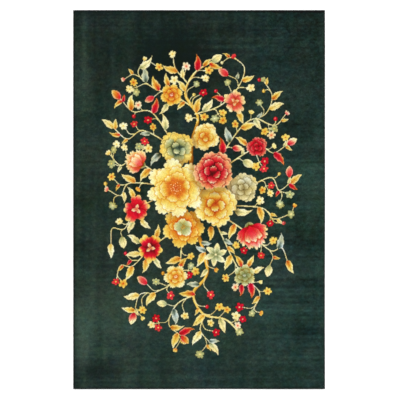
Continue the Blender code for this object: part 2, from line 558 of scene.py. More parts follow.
class Posy:
    """Plans where leaves and small blossoms go, so that none lies on another."""

    def __init__(self, chart, seed):
        self.chart = chart
        self.rng = np.random.default_rng(seed)
        self.held = []
        self.stem_points = []
        self.leaves = []
        self.tips = []
        self.made = dict.fromkeys(YARNS_OF, 0)

    def hold(self, x, y, radius):
        """Keeps a disc free of what comes later."""
        self.held.append((x, y, radius))

    def room(self, x, y, radius):
        """How far a disc would stay clear of all that is held."""
        x_held, y_held, r_held = np.array(self.held).T
        return float((np.hypot(x_held - x, y_held - y) - r_held).min() - radius)

    def within(self, x, y, radius):
        """Whether a disc lies inside the spray's ragged oval."""
        wide, high = (reach - radius for reach in SPRAY_REACH)
        angle = math.atan2(y / high, x / wide)
        ragged = 0.97 + 0.06 * math.sin(3 * angle + 0.7) + 0.05 * math.sin(8 * angle + 2.0)
        return abs(x / wide) ** 2.5 + abs(y / high) ** 2.5 < ragged**2.5

    def next_yarns(self, kind):
        """The next yarns for that kind, some rows on from its last ones."""
        rows = YARNS_OF[kind]
        at = 5 * self.made[kind] + int(self.rng.integers(0, 3))
        self.made[kind] += 1
        return row(rows[at % len(rows)])

    def add_leaf(self, x, y, heading, length, width):
        """Plans a toothed leaf, bent and hooked its own way."""
        yarns = self.next_yarns("leaf")
        teeth = 1.2 + 14 * length + self.rng.uniform(-0.4, 0.4)
        bend = self.rng.uniform(-0.28, 0.28)
        self.hold(*toward(x, y, heading, 0.55 * length), 0.36 * length)
        hook = self.rng.choice((-1, 1)) * self.rng.uniform(0.4, 1.5)
        self.leaves.append((x, y, heading, length, width, yarns, bend, teeth, hook))

    def add_bunch(self, x, y, heading):
        """Three blossoms on stems from one point."""
        for lean, reach in BUNCH:
            end = toward(x, y, heading + lean, reach * self.rng.uniform(0.92, 1.08))
            lay_stem(self.chart, ((x, y), end), SHOOT_WIDTH[1], SHOOT_WIDTH[1])
            self.add_tip(*toward(*end, heading + lean, -0.018), heading + lean, "blossom")

    def add_tip(self, x, y, heading, kind):
        """Plans one small thing at the end of a stem."""
        if kind == "bunch":
            self.add_bunch(x, y, heading)
            return
        size = self.rng.uniform(*TIP_SIZE[kind])
        if kind == "blossom":
            x, y = toward(x, y, heading, 0.6 * size)
            notch = 0.07 if self.rng.random() < 0.35 else 0.0
            yarns = self.next_yarns(kind)
            self.hold(x, y, size)
            petals = 6 if len(self.tips) % 3 == 0 else 5
            tip = (lay_blossom, x, y, size, self.rng.uniform(0, TURN), yarns, petals, notch)
        elif kind == "bud":
            self.hold(*toward(x, y, heading, 0.5 * size), 0.8 * size)
            lobes = int(self.rng.integers(2, 4))
            tip = (lay_bud, x, y, heading, size, self.next_yarns(kind), lobes)
        elif kind == "berry":
            self.hold(x, y, size)
            tip = (lay_berry, x, y, size, self.next_yarns(kind))
        else:
            self.hold(*toward(x, y, heading, 0.5 * size), 0.4 * size)
            tip = (lay_closed_bud, x, y, heading, size, self.next_yarns(kind))
        self.tips.append(tip)

    def try_leaf(self, x, y, heading, side):
        """The longest leaf that has room on that side."""
        lengths, leans = LEAF_TRIES
        for length in lengths:
            for lean in leans:
                angle = heading + side * lean
                middle = toward(x, y, angle, 0.58 * length)
                if self.within(*middle, 0.3 * length) and self.room(*middle, 0.36 * length) > -OVERLAP:
                    self.add_leaf(x, y, angle, length, LEAF_WIDTH * length)
                    return True
        return False

    def try_shoot(self, x, y, heading, side, kind):
        """A short side shoot with one tip, on the course that has most room."""
        size = TIP_ROOM[kind]
        reaches, leans = SHOOT_TRIES
        courses = []
        for reach in reaches:
            for lean in leans:
                angle = heading + side * lean
                end = toward(x, y, angle, reach)
                middle = toward(*end, angle + 0.2 * side, size)
                if self.within(*middle, size):
                    courses.append((self.room(*middle, size) - 0.15 * reach, reach, angle, end))
        if not courses or max(courses)[0] < -OVERLAP:
            return False
        reach, angle, end = max(courses)[1:]
        bow = angle - 0.45 * side
        middle = toward(x, y, bow, 0.5 * reach)
        lay_stem(self.chart, ((x, y), middle, end), *SHOOT_WIDTH)
        self.add_tip(*end, angle + 0.25 * side, kind)
        leaf_heading = bow - 0.7 * side
        if reach > 0.08 and self.room(*toward(*middle, leaf_heading, 0.03), 0.02) > 0:
            self.add_leaf(*middle, leaf_heading, 0.055, 0.026)
        return True

    def dress(self, line, heading):
        """Leaves and shoots along a spray, left and right in turn, and a cluster at its tip."""
        lengths = np.linalg.norm(np.diff(line, axis=0), axis=1)
        arc = np.concatenate([[0], np.cumsum(lengths)])
        x_big, y_big, r_big = np.array([flower[:3] for flower in BLOOMS + FLOWERS]).T
        clear = [(np.hypot(x_big - x, y_big - y) > r_big + 0.02).all() for x, y in line]
        at = arc[clear.index(True)]
        side = 1 if self.rng.random() < 0.5 else -1
        step = int(self.rng.integers(0, len(ALONG_SPRAY)))
        while at < arc[-1] - 0.03:
            i = int(np.searchsorted(arc, at))
            spot = (*line[i], heading[i])
            kind = ALONG_SPRAY[step % len(ALONG_SPRAY)]
            made = self.try_leaf(*spot, side) if kind == "leaf" else self.try_shoot(*spot, side, kind)
            if not made:
                side = -side
                if not self.try_shoot(*spot, side, "blossom"):
                    self.try_leaf(*spot, side)
            side = -side
            step += 1
            at += self.rng.uniform(0.050, 0.074)
        self.end_spray(line, heading[-1], side, int(self.rng.integers(0, 4)))

    def end_spray(self, line, heading, side, style):
        """One of four ways for a spray to end."""
        tip = (*line[-1], heading)
        if style == 0:
            self.add_tip(*tip, "blossom")
            self.try_shoot(*line[-12], heading, side, "bud")
        elif style == 1:
            self.add_tip(*tip, "closed")
            self.try_leaf(*line[-10], heading, side)
            self.try_leaf(*line[-16], heading, -side)
        elif style == 2:
            self.add_leaf(*tip, 0.11, 0.047)
            self.try_leaf(*line[-8], heading, 1)
            self.try_leaf(*line[-8], heading, -1)
        else:
            self.add_tip(*tip, "bud")
            self.try_shoot(*line[-10], heading, side, "berry")
            self.try_shoot(*line[-16], heading, -side, "blossom")

    def add_collars(self):
        """Leaves that look out from behind the blooms, wherever there is room."""
        for x, y, radius, *_ in BLOOMS + FLOWERS:
            for k in range(8):
                angle = 0.4 + TURN * k / 8 + self.rng.uniform(-0.2, 0.2)
                length = 0.075 + 0.35 * radius * self.rng.uniform(0.5, 1.0)
                root = toward(x, y, angle, 0.86 * radius)
                angle += self.rng.uniform(-0.35, 0.35)
                if self.room(*toward(*root, angle, 0.66 * length), 0.26 * length) > -0.004:
                    self.add_leaf(*root, angle, length, LEAF_WIDTH * length)

    def fill_gaps(self, tries):
        """Small things on stems of their own in the bare places near a spray."""
        made = 0
        for _ in range(tries):
            x, y = (self.rng.uniform(-reach, reach) for reach in SPRAY_REACH)
            kind = IN_GAPS[made % len(IN_GAPS)]
            size = TIP_ROOM[kind]
            if not self.within(x, y, size) or self.room(x, y, size) < 0.002:
                continue
            stems = np.array(self.stem_points)
            away = np.hypot(stems[:, 0] - x, stems[:, 1] - y)
            nearest = int(away.argmin())
            if not size < away[nearest] < 0.16:
                continue
            from_x, from_y, from_heading = stems[nearest]
            angle = math.atan2(y - from_y, x - from_x)
            side = 1 if math.sin(angle - from_heading) > 0 else -1
            end = toward(x, y, angle, -0.055 if kind == "leaf" else -0.7 * size)
            halfway = ((from_x + end[0]) / 2, (from_y + end[1]) / 2)
            middle = toward(*halfway, angle - side * math.pi / 2, 0.12 * away[nearest])
            lay_stem(self.chart, ((from_x, from_y), middle, end), *SHOOT_WIDTH)
            if kind == "leaf":
                self.add_leaf(*end, angle, 0.10, 0.043)
            else:
                self.add_tip(*end, angle, kind)
            self.stem_points.append((*middle, angle))
            made += 1


def draw_spray(chart, seed, tries):
    """Stems first, then leaves, small blossoms, flowers and blooms on top of each other."""
    posy = Posy(chart, seed)
    for x, y, radius, *_ in BLOOMS + FLOWERS:
        posy.hold(x, y, 0.96 * radius)
    chart.begin()
    lines = [lay_stem(chart, points, root, SPRAY_TIP) for root, points in SPRAYS]
    for root, tip, points in BRANCHES:
        lines.append(lay_stem(chart, points, root, tip, row("amber gold straw"), BRANCH_KNOBS))
    for line, heading in lines:
        for i in range(0, len(line), 6):
            posy.hold(*line[i], 0.004)
            posy.stem_points.append((*line[i], heading[i]))
    for line, heading in lines:
        posy.dress(line, heading)
    posy.add_collars()
    posy.fill_gaps(tries)
    for leaf in posy.leaves:
        chart.begin()
        lay_leaf(chart, *leaf)
    for lay, *values in posy.tips:
        chart.begin()
        lay(chart, *values)
    for x, y, radius, turn, form, yarns in FLOWERS:
        chart.begin()
        form(chart, x, y, radius, turn, row(yarns))
    for bloom in BLOOMS:
        lay_bloom(chart, *bloom)


# ---- the ground's shades

# Soft pools of lighter and darker dye: x, y, reach across, reach along, strength
POOLS = (
    (-0.18, 1.02, 0.34, 0.24, -0.68), (-0.72, 1.12, 0.16, 0.18, -0.04), (-0.86, 0.90, 0.08, 0.30, 0.26),
    (0.66, 0.74, 0.12, 0.22, -0.12), (0.76, 1.25, 0.14, 0.14, -0.08), (0.36, 1.22, 0.20, 0.10, -0.06),
    (-0.05, 0.30, 0.50, 0.45, -0.16), (-0.84, -0.34, 0.10, 0.12, -0.18), (0.84, 0.06, 0.16, 0.26, 0.11),
    (0.84, -0.28, 0.24, 0.08, -0.08), (0.84, -0.90, 0.14, 0.20, -0.04), (-0.85, -1.02, 0.09, 0.22, 0.36),
    (-0.66, -0.86, 0.26, 0.24, 0.26), (-0.78, -0.02, 0.16, 0.08, -0.10), (-0.74, -1.24, 0.15, 0.07, -0.34),
    (0.22, -1.27, 0.34, 0.12, -0.14), (-0.10, -0.78, 0.50, 0.30, 0.14),
)

# The ground's lightness in the middle, what each metre toward the far end adds, and what either end adds
MIDDLE_LEVEL = -0.002
FAR_LEVEL = -0.038
ENDS_LEVEL = -0.022

# How far the darker rims reach inwards, and how dark they are at the far end, the near end and the left
RIM_REACH = 0.012
RIM_SHADES = (0.62, 0.12, 0.22)

# The grain's clouds: strength, reach along and reach across in knots. The streaks run across the rug and
# are stronger to the right, and the threads run along it and are stronger to the left.
STREAKS = (0.033, 1.6, 60)
THREADS = (0.037, 60, 3)
GRAIN = ((0.036, 24, 26), (0.030, 8, 8), (0.058, 1.2, 1.8), (0.020, 3, 4))
KNOT_GRAIN = 0.10

# How far the cooler dye takes the ground's green, from none at the left to most at the right
COOL_SHARE = 0.6

# What a knot of ground beside the spray keeps of its own colour, and what it takes of the umber outline's:
# painted shade round the spray, as of a furrow clipped round it
OUTLINE_SHADE_SHARES = (0.45, 0.55)

# How uneven the wool of the spray is from knot to knot, and in small patches of red, green and blue
KNOT_MOTTLING = 0.045
MOTTLING = np.array((0.012, 0.030, 0.085))

# How far the ground's red, green and blue wander from each other, in clouds with these shares and reaches
HUE_DRIFT = (2.0, 0.0, 1.7)
HUE_CLOUDS = ((0.70, 2.5), (0.50, 8), (0.50, 30))
# How much bluer the ground is at the rug's ends
END_BLUE = 2.1


def clouds(rng, reach_along, reach_across, shape=(KNOTS_ALONG, KNOTS_ACROSS)):
    """Smooth random shading, one value a knot, of unit spread; the reaches are in knots."""
    along = np.fft.fftfreq(shape[0])[:, None] * reach_along
    across = np.fft.rfftfreq(shape[1])[None, :] * reach_across
    blur = np.exp(-2 * math.pi**2 * (along**2 + across**2))
    made = np.fft.irfft2(np.fft.rfft2(rng.standard_normal(shape)) * blur, s=shape)
    return made / made.std()


def ground_level(rng, x, y, to_end):
    """How light the ground is, from pools of dye, darker rims and the grain; 0 is the middle green."""
    level = MIDDLE_LEVEL + FAR_LEVEL * y + ENDS_LEVEL * to_end
    for pool_x, pool_y, reach_x, reach_y, strength in POOLS:
        level += strength * np.exp(-(((x - pool_x) / reach_x) ** 2) - ((y - pool_y) / reach_y) ** 2)
    for rim, darker in zip((FIELD_HIGH.y - y, y - FIELD_LOW.y, x - FIELD_LOW.x), RIM_SHADES):
        level -= darker * np.exp(-rim / RIM_REACH)
    bands = 0.5 + clouds(rng, 60, 50).clip(-0.5, 1.5)
    grain = STREAKS[0] * (1 + 0.2 * x) * bands * clouds(rng, *STREAKS[1:])
    grain += THREADS[0] * (1 - 0.7 * x) * clouds(rng, *THREADS[1:])
    for strength, *reaches in GRAIN:
        grain += strength * clouds(rng, *reaches)
    grain += KNOT_GRAIN * rng.standard_normal(level.shape)
    return level + grain * (1 + 0.06 * y)


def draw_ground(chart, seed):
    """The field's green round the spray, with its outline of painted shade and its hue's drift, and the
    spray's mottling.
    """
    rng = np.random.default_rng(seed)
    x, y = np.meshgrid(chart.x, chart.y)
    to_end = (y / FIELD_HIGH.y) ** 2
    level = ground_level(rng, x, y, to_end)
    green = mixed(row("night fir lichen thyme"), 1 / 3 + 0.8 * level)
    cool = np.clip(0.2 + 0.8 * x / chart.x[-1] + 0.15 * clouds(rng, 30, 30), 0, 1)[..., None] * COOL_SHARE
    green = green * (1 - cool) + YARN["teal"] * (1 + 1.3 * level[..., None]) * cool
    bare = chart.motif == 0
    laid = np.pad(~bare, 1)
    beside = laid[:-2, 1:-1] | laid[2:, 1:-1] | laid[1:-1, :-2] | laid[1:-1, 2:]
    # Painted shade: the ground knots beside the spray are darkened toward umber, as along a furrow clipped
    # round it
    green[beside] = OUTLINE_SHADE_SHARES[0] * green[beside] + OUTLINE_SHADE_SHARES[1] * YARN["umber"]
    chart.colour[bare] = green[bare]
    uneven = KNOT_MOTTLING * rng.standard_normal(level.shape)[..., None]
    uneven = uneven + clouds(rng, 4, 4)[..., None] * MOTTLING
    chart.colour[~bare] *= (1 + uneven)[~bare]
    for channel, drift in enumerate(HUE_DRIFT):
        hue = sum(share * clouds(rng, reach, reach) for share, reach in HUE_CLOUDS)
        chart.colour[..., channel][bare] += drift * hue[bare]
    chart.colour[..., 2][bare] += END_BLUE * to_end[bare]
    chart.colour = np.clip(chart.colour, 0, BRIGHTEST)


# ---- materials

YARN_LAYER = "yarn"

# How brightly the studio's light shows the pile's red, green and blue, and the gloss that it adds to them
WOOL_GAIN = np.array((0.960, 0.950, 0.920))
WOOL_GLOSS = np.array((0.0058, 0.0054, 0.0070))

# The colour sockets of a Mix node, whose names are the same as those of its number sockets
MIX_A, MIX_B, MIX_RESULT = 6, 7, 2


def linear(srgb):
    """Screen values from 0 to 255 as the share of light that the wool gives back, with alpha."""
    s = np.clip(np.asarray(srgb, float) / 255, 0, 1)
    light = np.where(s <= 0.04045, s / 12.92, ((s + 0.055) / 1.055) ** 2.4)
    light = np.clip((light - WOOL_GLOSS) / WOOL_GAIN, 0.002, 1)
    return np.concatenate([light, np.ones_like(light[..., :1])], -1)


class Recipe:
    """A node material, built one node at a time. A value is a number, a colour or a node's output."""

    def __init__(self, name):
        self.material = bpy.data.materials.new(name)
        self.material.use_nodes = True
        self.tree = self.material.node_tree
        self.place = self.node("TexCoord").outputs["Object"]

    def plug(self, value, socket):
        """Links an output to the socket, or sets the socket's own value."""
        if isinstance(value, bpy.types.NodeSocket):
            self.tree.links.new(value, socket)
        else:
            socket.default_value = value

    def node(self, kind, *values, operation=None, **named):
        """A new node, with values for its first inputs in their order and for others by name."""
        made = self.tree.nodes.new("ShaderNode" + kind)
        if operation:
            made.operation = operation
        for value, socket in zip(values, made.inputs):
            self.plug(value, socket)
        for name, value in named.items():
            self.plug(value, made.inputs[name])
        return made

    def math(self, operation, *values):
        """A sum, a product or the like of one or two values."""
        return self.node("Math", *values, operation=operation).outputs[0]

    def product(self, first, *others):
        """All the values multiplied."""
        for other in others:
            first = self.math("MULTIPLY", first, other)
        return first

    def noise(self, scale, detail=2.0, stretch=(1, 1, 1), distortion=0.0):
        """Noise from 0 to 1; the scale is in features a metre."""
        mapping = self.node("Mapping", self.place, Scale=stretch)
        made = self.node("TexNoise", mapping.outputs[0], Scale=scale, Detail=detail, Distortion=distortion)
        return made.outputs["Fac"]

    def tips(self, scale):
        """Small round cells, that many to a metre: how far from the middle of one, and its own shade."""
        made = self.node("TexVoronoi", self.place, Scale=scale)
        return made.outputs["Distance"], made.outputs["Color"]

    def axes(self):
        """The place's x, y and z."""
        return self.node("SeparateXYZ", self.place).outputs

    def ridge(self, coordinate, wander, pitch):
        """0 at each multiple of the pitch, give or take the wander, and 1 halfway between."""
        turned = self.math("MULTIPLY", self.math("ADD", coordinate, wander), math.pi / pitch)
        return self.math("ABSOLUTE", self.math("SINE", turned))

    def span(self, value, low, high, from_low=0.0, from_high=1.0):
        """The value, taken from one range to another."""
        return self.node("MapRange", value, from_low, from_high, low, high).outputs[0]

    def yarn(self):
        """The colour that each face, corner or point carries."""
        made = self.node("Attribute")
        made.attribute_name = YARN_LAYER
        return made.outputs["Color"]

    def blend(self, factor, a, b):
        """Colour a where the factor is 0, and b where it is 1."""
        made = self.node("Mix", factor)
        made.data_type = "RGBA"
        self.plug(a, made.inputs[MIX_A])
        self.plug(b, made.inputs[MIX_B])
        return made.outputs[MIX_RESULT]

    def scaled(self, colour, level):
        """The colour, multiplied by a number."""
        return self.node("VectorMath", colour, operation="SCALE", Scale=level).outputs[0]

    def finish(self, colour, roughness, height, depth, strength, sheen=0.0, shine=0.05):
        """Sets what the shader shows: depth is the bump's height in metres."""
        bump = self.node("Bump", Strength=strength, Distance=depth, Height=height)
        shader = self.tree.nodes["Principled BSDF"]
        for name, value in (
            ("Base Color", colour), ("Roughness", roughness), ("Normal", bump.outputs[0]),
            ("Specular IOR Level", shine), ("Sheen Weight", sheen), ("Sheen Roughness", 0.6),
        ):
            self.plug(value, shader.inputs[name])
        return self.material


def pile_material():
    """Cut wool pile: the ends of its plies, a soft dome for each knot, and broad wear, with painted shade
    between the knots' domes and a painted highlight at the middle of each ply's end.
    """
    recipe = Recipe("wool_pile")
    x, y, _ = recipe.axes()
    across = recipe.ridge(x, recipe.span(recipe.noise(240), -0.0030, 0.0030), PITCH_X)
    along = recipe.ridge(y, recipe.span(recipe.noise(210), -0.0026, 0.0026), PITCH_Y)
    dome = recipe.math("POWER", recipe.product(across, along), 0.6)
    from_tip, own = recipe.tips(720)
    fibre = recipe.noise(2600)
    wear = recipe.noise(2.6)
    # The colour's level: painted shade in the furrows between the knots' domes, a painted highlight at each
    # ply end's middle fading to painted shade at its edge, and the plies', fibres' and wear's own tones
    level = recipe.product(
        recipe.span(dome, 0.90, 1.04),
        recipe.span(from_tip, 1.14, 0.74, 0.1, 0.75),
        recipe.span(own, 0.90, 1.10),
        recipe.span(fibre, 0.90, 1.10, 0.25, 0.75),
        recipe.span(wear, 0.96, 1.04, 0.3, 0.7),
    )
    height = recipe.math("SUBTRACT", recipe.product(dome, 0.8), from_tip)
    height = recipe.math("ADD", height, recipe.product(fibre, 0.6))
    roughness = recipe.span(recipe.math("ADD", wear, fibre), 0.84, 0.97, 0.6, 1.4)
    return recipe.finish(recipe.scaled(recipe.yarn(), level), roughness, height, 0.0015, 0.9, sheen=0.04)


def back_material():
    """The back: each knot as two small nubs of its yarn, with cotton weft in the furrow between the rows, and
    painted shade between the nubs.
    """
    recipe = Recipe("knotted_back")
    x, y, _ = recipe.axes()
    wander = recipe.span(recipe.noise(160, 1.0), -0.0006, 0.0006)
    nub = recipe.ridge(x, wander, 0.5 * PITCH_X)
    furrow = recipe.ridge(y, wander, PITCH_Y)
    twist = recipe.noise(900, stretch=(0.4, 1, 1))
    weft = recipe.span(furrow, 0.50, 0.0, 0.08, 0.32)
    cotton = recipe.scaled((0.55, 0.50, 0.38), recipe.span(recipe.noise(30, 3.0), 0.75, 1.15))
    # The wool carries painted shade between the nubs, darkest in the recess, and varies along its twist
    wool = recipe.scaled(recipe.yarn(), recipe.span(recipe.product(nub, twist), 0.55, 1.25, 0.0, 0.6))
    height = recipe.math("ADD", recipe.product(nub, furrow), recipe.product(twist, 0.4))
    roughness = recipe.span(twist, 0.80, 0.95, 0.3, 0.7)
    return recipe.finish(recipe.blend(weft, wool, cotton), roughness, height, 0.0007, 0.7)


def edge_material():
    """Overcast wool: the strands' fine twist and a little lint."""
    recipe = Recipe("wool_edge")
    strand = recipe.noise(1400, 3.0, distortion=0.4)
    lint = recipe.noise(45, 3.0)
    level = recipe.product(recipe.span(strand, 0.75, 1.25, 0.3, 0.7), recipe.span(lint, 0.90, 1.12, 0.3, 0.7))
    roughness = recipe.span(lint, 0.78, 0.92, 0.3, 0.7)
    return recipe.finish(recipe.scaled(recipe.yarn(), level), roughness, strand, 0.0005, 0.6, sheen=0.04)


def floor_material():
    """A smooth pale floor."""
    recipe = Recipe("pale_floor")
    grain = recipe.noise(300)
    colour = recipe.scaled((0.93, 0.93, 0.93), recipe.span(grain, 0.995, 1.005))
    return recipe.finish(colour, 0.9, grain, 0.00005, 0.1, shine=0.0)


# ---- meshes

# How far the edges wander from the straight
SWAY = 0.0006

# The pile is made of this many long blocks, which reach down into the foundation
STRIPS = 4
STRIP_KNOTS = KNOTS_ACROSS // STRIPS
STRIP_BASE = 0.0033
WALL_ANGLE = math.radians(60)
WALL_SHADE = 0.6

# The pile's face: its rounding along the rim, how much a knot's wool mingles with its neighbours',
# how unevenly it is clipped, and how far each knot's corners lie from their places
RIM_ROUNDING = 0.0065
MINGLING = 0.45
CLIPPING = 0.00018
CLIPPING_LIMIT = 0.0006
CLIPPING_DROP = 0.0002
CORNER_DRIFT = 0.00032
STEADY_RIM = 0.001

FOUNDATION = 0.0035
BACK_CELLS = (160, 240)
BACK_INSET = 0.0003

# The corners of a quad, in the order in which a face names them
CORNERS_U = np.array((0, 1, 1, 0))
CORNERS_V = np.array((0, 0, 1, 1))


def add_object(name, data):
    """A new object in the scene."""
    made = bpy.data.objects.new(name, data)
    bpy.context.scene.collection.objects.link(made)
    return made


def add_piece(name, points, faces, yarns, material, smooth=True, domain="FACE", bake_map=None):
    """A mesh piece on the rug's body, with one yarn colour for each face, corner or point."""
    mesh = bpy.data.meshes.new(name)
    mesh.from_pydata(points, [], faces)
    layer = mesh.attributes.new(YARN_LAYER, "FLOAT_COLOR", domain)
    layer.data.foreach_set("color", linear(yarns).ravel())
    mesh.polygons.foreach_set("use_smooth", np.broadcast_to(smooth, len(faces)))
    mesh.materials.append(material)
    if bake_map is not None:
        mesh.uv_layers.new(name="OFBake").data.foreach_set("uv", np.concatenate(bake_map).ravel())
    piece = add_object(name, mesh)
    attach(piece, "root")
    return piece


def mingled(knots):
    """Four colours for each knot, one a corner, where its wool mingles with its neighbours'."""
    padded = np.pad(knots, ((1, 1), (1, 1), (0, 0)), mode="edge")
    meet = (padded[:-1, :-1] + padded[:-1, 1:] + padded[1:, 1:] + padded[1:, :-1]) / 4
    corners = np.stack([meet[:-1, :-1], meet[:-1, 1:], meet[1:, 1:], meet[1:, :-1]], 2)
    return MINGLING * corners + (1 - MINGLING) * knots[:, :, None]


def sway(x, y):
    """The places moved with the wandering edges, which moves every piece alike."""
    dx = SWAY * (np.sin(2.1 * y + 0.6) + 0.5 * np.sin(5.3 * y + 2.0)) * (0.4 + 0.6 * x / CAD_HIGH.x)
    dy = SWAY * (np.sin(3.4 * x + 1.1) + 0.5 * np.sin(7.9 * x + 0.3)) * (0.4 - 0.6 * y / CAD_HIGH.y)
    return x + dx, y + dy


def grid_faces(index, upward=True):
    """Quads over a table of point numbers, rows along and columns across."""
    around = (index[:-1, :-1], index[:-1, 1:], index[1:, 1:], index[1:, :-1])
    return np.stack(around if upward else around[::-1], -1).reshape(-1, 4).tolist()


def grid_map(columns, rows, left, low, width, height, turn=1):
    """Map places for the corners of a table of quads, laid over a box; turn is -1 for a downward face."""
    at_row, at_column = np.divmod(np.arange(rows * columns)[:, None], columns)
    u = left + width * (at_column + CORNERS_U[::turn]) / columns
    v = low + height * (at_row + CORNERS_V[::turn]) / rows
    return np.stack([u, v], -1).reshape(-1, 2)


def wall_map(cells, left, low, width, height):
    """Map places for one long face with that many cells on one side and none on the other."""
    u = np.concatenate([np.linspace(0, 1, cells + 1), [1, 0]])
    v = np.concatenate([np.zeros(cells + 1), [1, 1]])
    return np.stack([left + width * u, low + height * v], -1)


def pile_surface(rng):
    """The points of the pile's face, one row and one column more than the knots."""
    x = np.linspace(FIELD_LOW.x, FIELD_HIGH.x, KNOTS_ACROSS + 1)
    y = np.linspace(FIELD_LOW.y, FIELD_HIGH.y, KNOTS_ALONG + 1)
    x, y = np.meshgrid(x, y)
    from_rim = np.minimum(FIELD_HIGH.x - np.abs(x), FIELD_HIGH.y - np.abs(y))
    inward = np.clip(1 - from_rim / RIM_ROUNDING, 0, 1)
    z = PILE_TOP - RIM_ROUNDING * (1 - np.sqrt(1 - inward**2))
    rough = CLIPPING * (clouds(rng, 0.6, 0.6, x.shape) + clouds(rng, 14, 14, x.shape))
    z += np.clip(rough, -CLIPPING_LIMIT, CLIPPING_LIMIT) - CLIPPING_DROP
    drift = CORNER_DRIFT * (from_rim > STEADY_RIM)
    x = x + drift * np.clip(rng.standard_normal(x.shape), -2, 2)
    y = y + drift * np.clip(rng.standard_normal(x.shape), -2, 2)
    return np.stack([*sway(x, y), z], -1)


def add_strip(number, surface, corners, material):
    """One of the long closed blocks that the pile is made of, side by side with no gap."""
    first = number * STRIP_KNOTS
    top = surface[:, first : first + STRIP_KNOTS + 1]
    own = corners[:, first : first + STRIP_KNOTS]
    sides = np.concatenate([top[:, 0], top[:, -1]])
    sides[:, 2] = STRIP_BASE
    index = np.arange(top[..., 0].size).reshape(top.shape[:2])
    left, right = index.size + np.arange(len(sides)).reshape(2, -1)
    faces = grid_faces(index)
    for low, high, upward in ((left, index[:, 0], True), (right, index[:, -1], False), (left, right, False)):
        faces += grid_faces(np.stack([low, high], 1), upward)
    faces.append([left[0], right[0], *index[0, ::-1]])
    faces.append([right[-1], left[-1], *index[-1]])
    hidden = np.tile(YARN["fir"], (4 * KNOTS_ALONG + 2 * (STRIP_KNOTS + 3), 1))
    yarns = (own, WALL_SHADE * own[:, 0], WALL_SHADE * own[:, -1], hidden)
    # The face is folded into two halves side by side in the map, with the walls in bands above them
    half_rows = KNOTS_ALONG // 2
    places = [grid_map(STRIP_KNOTS, half_rows, start, 0.004, 0.492, 0.945) for start in (0.004, 0.504)]
    places += [grid_map(KNOTS_ALONG, 1, 0.002, band, 0.996, 0.007) for band in (0.965, 0.978, 0.991)]
    places += [wall_map(STRIP_KNOTS, start, 0.960, 0.48, -0.008)[::-1] for start in (0.01, 0.51)]
    piece = add_piece(
        f"pile_{number + 1}", np.concatenate([top.reshape(-1, 3), sides]), faces,
        np.concatenate([each.reshape(-1, 3) for each in yarns]), material,
        smooth=np.arange(len(faces)) < KNOTS_ALONG * STRIP_KNOTS, domain="CORNER", bake_map=places,
    )
    piece.data.set_sharp_from_angle(angle=WALL_ANGLE)
    return piece


def add_foundation(chart, material):
    """The cotton foundation: a thin closed sheet whose underside shows the backs of the knots."""
    across, along = BACK_CELLS
    x = np.linspace(FIELD_LOW.x + BACK_INSET, FIELD_HIGH.x - BACK_INSET, across + 1)
    y = np.linspace(FIELD_LOW.y + BACK_INSET, FIELD_HIGH.y - BACK_INSET, along + 1)
    x, y = np.meshgrid(x, y)
    under = np.stack([*sway(x, y), np.zeros_like(x)], -1)
    upper = under[[0, 0, -1, -1], [0, -1, -1, 0]]
    upper[:, 2] = FOUNDATION
    index = np.arange(x.size).reshape(x.shape)
    a, b, c, d = index.size + np.arange(4)
    faces = grid_faces(index, upward=False) + [[a, b, c, d]]
    walls = ((index[0], b, a), (index[:, -1], c, b), (index[-1, ::-1], d, c), (index[::-1, 0], a, d))
    faces += [[*low, *high] for low, *high in walls]
    column = np.clip(((x - FIELD_LOW.x) / PITCH_X).astype(int), 0, KNOTS_ACROSS - 1)
    at_row = np.clip(((y - FIELD_LOW.y) / PITCH_Y).astype(int), 0, KNOTS_ALONG - 1)
    yarns = np.concatenate([chart.colour[at_row, column].reshape(-1, 3), np.tile(YARN["fir"], (4, 1))])
    # The underside fills the map, with the upper side and the walls in bands above it
    places = [grid_map(across, along, 0.004, 0.004, 0.992, 0.940, turn=-1)]
    places.append(grid_map(1, 1, 0.01, 0.952, 0.98, 0.008))
    for band, cells in ((0.963, across), (0.972, along), (0.981, across), (0.990, along)):
        places.append(wall_map(cells, 0.01, band, 0.98, 0.007))
    return add_piece(
        "foundation", np.concatenate([under.reshape(-1, 3), upper]), faces, yarns, material,
        smooth=False, domain="POINT", bake_map=places,
    )


# ---- rim tufts and overcast edges

# Rows of tufts: root's distance inside the rim, root's height, reach past the rim, tip's height
TUFT_ROWS = (
    (0.0024, 0.0048, 0.0030, 0.0072),
    (0.0024, 0.0070, 0.0028, 0.0094),
    (0.0028, 0.0090, 0.0016, 0.0118),
)
TUFT_PITCH = 0.0025
# A tuft's three corners, in half widths and half depths, and those halves at its root and tip
TUFT_CORNERS = ((-1, -1), (1, -1), (0, 1))
TUFT_ENDS = ((0.0014, 0.0011), (0.0006, 0.0005))
TUFT_FACES = ((0, 1, 2), (3, 5, 4), (0, 3, 4, 1), (1, 4, 5, 2), (2, 5, 3, 0))
TUFT_SPLAY = 0.0020

WRAP_PITCH = 0.0038
WRAP_SLANT = 0.0009
CORD_SIDES = 8
CORD_VALLEY = 0.80
# What the two rings at each end of a cord keep of their girth
CORD_END = (0.45, 0.85, 0.85, 0.45)
EDGE_YARN = np.array((26, 37, 33))


def tuft_rings(rng, places, half, tuft_row):
    """Along, outward and up for the six corners of each tuft in one row along one side."""
    inside, low, reach, high = tuft_row
    count = len(places)
    root = places + rng.uniform(-0.0006, 0.0006, count)
    splay = TUFT_SPLAY * np.clip((np.abs(root) - places[-1]) / 0.005 + 1, 0, 1)
    tip = root + rng.uniform(-0.0013, 0.0013, count) + np.sign(root) * splay
    longer = rng.uniform(-0.0012, 0.0008, count)
    lift = rng.uniform(-0.0010, 0.0010, count)
    level = np.zeros(count)
    rings = []
    for run, out, up, (wide, deep) in (
        (root, level + half - inside, level + low, TUFT_ENDS[0]),
        (tip, half + reach + longer, high + lift, TUFT_ENDS[1]),
    ):
        rings += [(run + side * wide, out - over * deep, up + over * deep) for side, over in TUFT_CORNERS]
    return np.array(rings).transpose(1, 2, 0)


